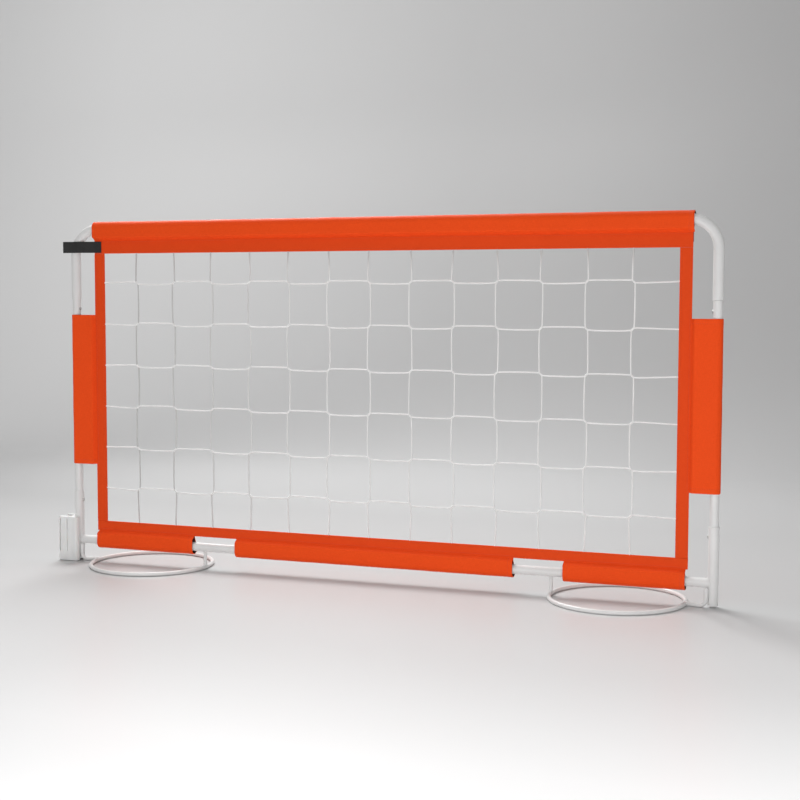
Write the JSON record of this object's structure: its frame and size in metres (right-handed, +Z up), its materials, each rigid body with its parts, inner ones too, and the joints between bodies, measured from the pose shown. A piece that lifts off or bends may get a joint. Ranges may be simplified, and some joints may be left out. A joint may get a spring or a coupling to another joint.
{
  "type": "goal net panel",
  "caption": "Free-standing goal net panel: tube frame on ring feet, square-mesh net in a fabric border with wrap-round sleeves, and a strap and socket that link it to the next panel.",
  "frame": {"origin": "middle of the footprint's box, on the floor", "axes": "+X along the panel to the right as seen from the front, +Y to the back, +Z up; the front faces -Y"},
  "size_m": [1.542, 0.289, 0.8],
  "materials": {
    "white_tube": "white powder coat, satin",
    "white_plastic": "moulded, fine texture",
    "orange_fabric": "coated woven polyester",
    "net_cord": "knotless braided cord",
    "black_webbing": "woven webbing",
    "hook_and_loop": "hook and loop tape",
    "button_steel": "zinc plated",
    "spring_steel": "plain spring steel",
    "screw_steel": "zinc plated"
  },
  "bodies": {
    "frame": {"top_corner_left": "white_tube", "top_corner_right": "white_tube", "side_post_left": "white_tube", "side_post_right": "white_tube", "lower_leg_left": "white_tube", "lower_leg_right": "white_tube", "bottom_rail_left": "white_tube", "bottom_rail_right": "white_tube", "leg_end_cap_left": "white_plastic", "leg_end_cap_right": "white_plastic", "upper_left_button_spring": "spring_steel", "lower_left_button_spring": "spring_steel", "upper_right_button_spring": "spring_steel", "lower_right_button_spring": "spring_steel", "top_rail_button_spring": "spring_steel", "bottom_rail_button_spring": "spring_steel", "foot_ring_left": "white_tube", "foot_upright_left": "white_tube", "foot_outer_rod_left": "white_tube", "foot_ring_right": "white_tube", "foot_upright_right": "white_tube", "foot_outer_rod_right": "white_tube", "border_top": "orange_fabric", "border_bottom": "orange_fabric", "border_left": "orange_fabric", "border_right": "orange_fabric", "top_sleeve": "orange_fabric", "top_sleeve_closure": "hook_and_loop", "left_sleeve": "orange_fabric", "left_sleeve_closure": "hook_and_loop", "right_sleeve": "orange_fabric", "right_sleeve_closure": "hook_and_loop", "bottom_left_sleeve": "orange_fabric", "bottom_left_sleeve_closure": "hook_and_loop", "bottom_centre_sleeve": "orange_fabric", "bottom_centre_sleeve_closure": "hook_and_loop", "bottom_right_sleeve": "orange_fabric", "bottom_right_sleeve_closure": "hook_and_loop", "net": "net_cord", "link_strap_anchor": "black_webbing", "link_socket": "white_plastic", "link_socket_screw_1": "screw_steel", "link_socket_screw_2": "screw_steel"},
    "link_strap": {"link_strap": "black_webbing", "link_strap_hook_patch": "hook_and_loop"},
    "upper_left_button": {"upper_left_snap_button": "button_steel"},
    "upper_right_button": {"upper_right_snap_button": "button_steel"},
    "lower_left_button": {"lower_left_snap_button": "button_steel"},
    "lower_right_button": {"lower_right_snap_button": "button_steel"},
    "top_rail_button": {"top_rail_snap_button": "button_steel"},
    "bottom_rail_button": {"bottom_rail_snap_button": "button_steel"}
  },
  "joints": [
    {"name": "link_strap_swing", "type": "hinge", "parent": "frame", "child": "link_strap", "pos_m": [-0.6774, -0.0033, 0.7414], "axis": [0, 0, 1], "range_deg": [0, 100]},
    {"name": "upper_left_button_press", "type": "slide", "parent": "frame", "child": "upper_left_button", "axis": [-1, 0, 0], "range_m": [0, 0.0038], "stiffness_N_per_m": 1500, "springref_m": -0.0015, "deforming": ["upper_left_button_spring"]},
    {"name": "upper_right_button_press", "type": "slide", "parent": "frame", "child": "upper_right_button", "axis": [1, 0, 0], "range_m": [0, 0.0038], "stiffness_N_per_m": 1500, "springref_m": -0.0015, "deforming": ["upper_right_button_spring"]},
    {"name": "lower_left_button_press", "type": "slide", "parent": "frame", "child": "lower_left_button", "axis": [-1, 0, 0], "range_m": [0, 0.0038], "stiffness_N_per_m": 1500, "springref_m": -0.0015, "deforming": ["lower_left_button_spring"]},
    {"name": "lower_right_button_press", "type": "slide", "parent": "frame", "child": "lower_right_button", "axis": [1, 0, 0], "range_m": [0, 0.0038], "stiffness_N_per_m": 1500, "springref_m": -0.0015, "deforming": ["lower_right_button_spring"]},
    {"name": "top_rail_button_press", "type": "slide", "parent": "frame", "child": "top_rail_button", "axis": [0, 0, -1], "range_m": [0, 0.0038], "stiffness_N_per_m": 1500, "springref_m": -0.0015, "deforming": ["top_rail_button_spring"]},
    {"name": "bottom_rail_button_press", "type": "slide", "parent": "frame", "child": "bottom_rail_button", "axis": [0, 0, 1], "range_m": [0, 0.0038], "stiffness_N_per_m": 1500, "springref_m": -0.0015, "deforming": ["bottom_rail_button_spring"]}
  ]
}
